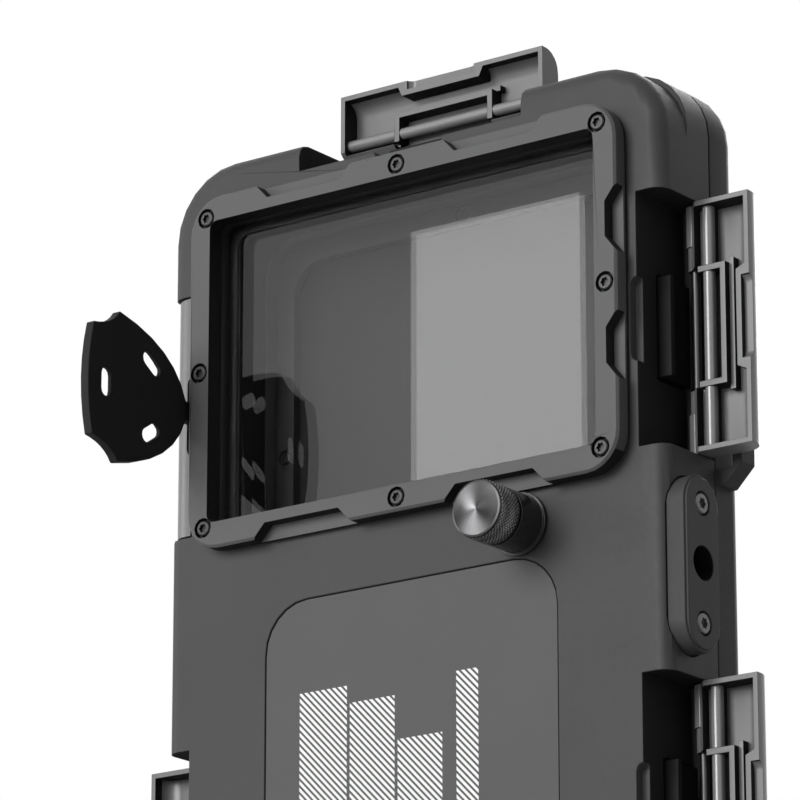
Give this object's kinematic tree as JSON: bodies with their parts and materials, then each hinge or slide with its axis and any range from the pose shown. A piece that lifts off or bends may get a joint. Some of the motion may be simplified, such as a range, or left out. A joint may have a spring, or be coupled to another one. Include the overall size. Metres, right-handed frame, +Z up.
{
  "type": "underwater camera housing",
  "caption": "Upright underwater housing for a phone camera: a shell with a framed lens window, a screen-side cover, hinged over-centre latches, a clamp knob, a tripod plate and an opening key.",
  "frame": {"origin": "centre of the window pane's outer face", "axes": "+Z up along the housing's length, -Y out of the lens window, +Y out of the screen side, +X towards the side with the tripod plate"},
  "size_m": [0.1432, 0.0591, 0.2102],
  "materials": {
    "housing_plastic": "fine matt moulded",
    "bezel_plastic": "satin",
    "pane_glass": "polished clear",
    "black_rubber": "matt",
    "grey_rubber": "soft matt",
    "screw_steel": "dark, satin",
    "pin_steel": "bright, satin",
    "label_plastic": "satin",
    "black_plastic": "smooth satin",
    "knob_aluminium": "knurled, turned end",
    "membrane_film": "smooth smoky film",
    "key_plastic": "matt",
    "lever_plastic": "smooth, half gloss"
  },
  "bodies": {
    "housing": {"camera_shell": "housing_plastic", "window_bezel": "bezel_plastic", "window_pane": "pane_glass", "window_gasket": "black_rubber", "pane_spacer": "black_rubber", "bezel_screw_1": "screw_steel", "bezel_screw_2": "screw_steel", "bezel_screw_3": "screw_steel", "bezel_screw_4": "screw_steel", "bezel_screw_5": "screw_steel", "bezel_screw_6": "screw_steel", "bezel_screw_7": "screw_steel", "bezel_screw_8": "screw_steel", "case_seal": "grey_rubber", "label_plate": "label_plastic", "knob_collar": "black_plastic", "spindle_seal": "black_rubber", "mount_plate": "black_plastic", "mount_screw_1": "screw_steel", "mount_screw_2": "screw_steel", "tripod_insert": "pin_steel", "phone_cushion_1": "grey_rubber", "phone_cushion_2": "grey_rubber", "phone_cushion_3": "grey_rubber", "right_upper_pin": "pin_steel", "right_lower_pin": "pin_steel", "left_upper_pin": "pin_steel", "left_lower_pin": "pin_steel", "top_pin": "pin_steel", "bottom_pin": "pin_steel"},
    "cover": {"screen_cover": "housing_plastic", "touch_membrane": "membrane_film", "membrane_clamp": "black_plastic", "clamp_screw_1": "screw_steel", "clamp_screw_2": "screw_steel", "clamp_screw_3": "screw_steel", "clamp_screw_4": "screw_steel", "clamp_screw_5": "screw_steel", "clamp_screw_6": "screw_steel"},
    "right_upper_latch": {"right_upper_lever": "lever_plastic"},
    "right_lower_latch": {"right_lower_lever": "lever_plastic"},
    "left_upper_latch": {"left_upper_lever": "lever_plastic"},
    "left_lower_latch": {"left_lower_lever": "lever_plastic"},
    "top_latch": {"top_lever": "lever_plastic"},
    "bottom_latch": {"bottom_lever": "lever_plastic"},
    "knob": {"clamp_knob": "knob_aluminium", "clamp_spindle": "pin_steel"},
    "pad": {"clamp_pad": "black_plastic", "pad_face": "grey_rubber"},
    "key": {"opener_key": "key_plastic"}
  },
  "joints": [
    {"name": "right_upper_latch_turn", "type": "hinge", "parent": "housing", "child": "right_upper_latch", "pos_m": [0.05745, 0.0128, -0.007], "axis": [0, 0, 1], "range_deg": [-90, 8]},
    {"name": "right_lower_latch_turn", "type": "hinge", "parent": "housing", "child": "right_lower_latch", "pos_m": [0.05745, 0.0128, -0.1006], "axis": [0, 0, 1], "range_deg": [-90, 8]},
    {"name": "left_upper_latch_turn", "type": "hinge", "parent": "housing", "child": "left_upper_latch", "pos_m": [-0.05745, 0.0128, -0.007], "axis": [0, 0, -1], "range_deg": [0, 98]},
    {"name": "left_lower_latch_turn", "type": "hinge", "parent": "housing", "child": "left_lower_latch", "pos_m": [-0.05745, 0.0128, -0.1006], "axis": [0, 0, -1], "range_deg": [-90, 8]},
    {"name": "top_latch_turn", "type": "hinge", "parent": "housing", "child": "top_latch", "pos_m": [0, 0.0128, 0.0432], "axis": [-1, 0, 0], "range_deg": [-90, 8]},
    {"name": "bottom_latch_turn", "type": "hinge", "parent": "housing", "child": "bottom_latch", "pos_m": [0, 0.0128, -0.1508], "axis": [1, 0, 0], "range_deg": [0, 98]},
    {"name": "screen_cover_lift", "type": "slide", "parent": "housing", "child": "cover", "axis": [0, 1, 0], "range_m": [0, 0.04]},
    {"name": "knob_turn", "type": "hinge", "parent": "housing", "child": "knob", "pos_m": [0.02645, -0.009, -0.0429], "axis": [0, 1, 0], "range_deg": [0, 1081]},
    {"name": "pad_travel", "type": "slide", "parent": "housing", "child": "pad", "axis": [0, 1, 0], "range_m": [0, 0.003]},
    {"name": "key_twist", "type": "hinge", "parent": "housing", "child": "key", "pos_m": [-0.05345, -0.015, -0.007], "axis": [0, 1, 0], "range_deg": [-12, 12]}
  ],
  "couplings": [
    {"joint": "knob_turn", "follows": "pad_travel", "rad_per_m": 6283.2}
  ]
}
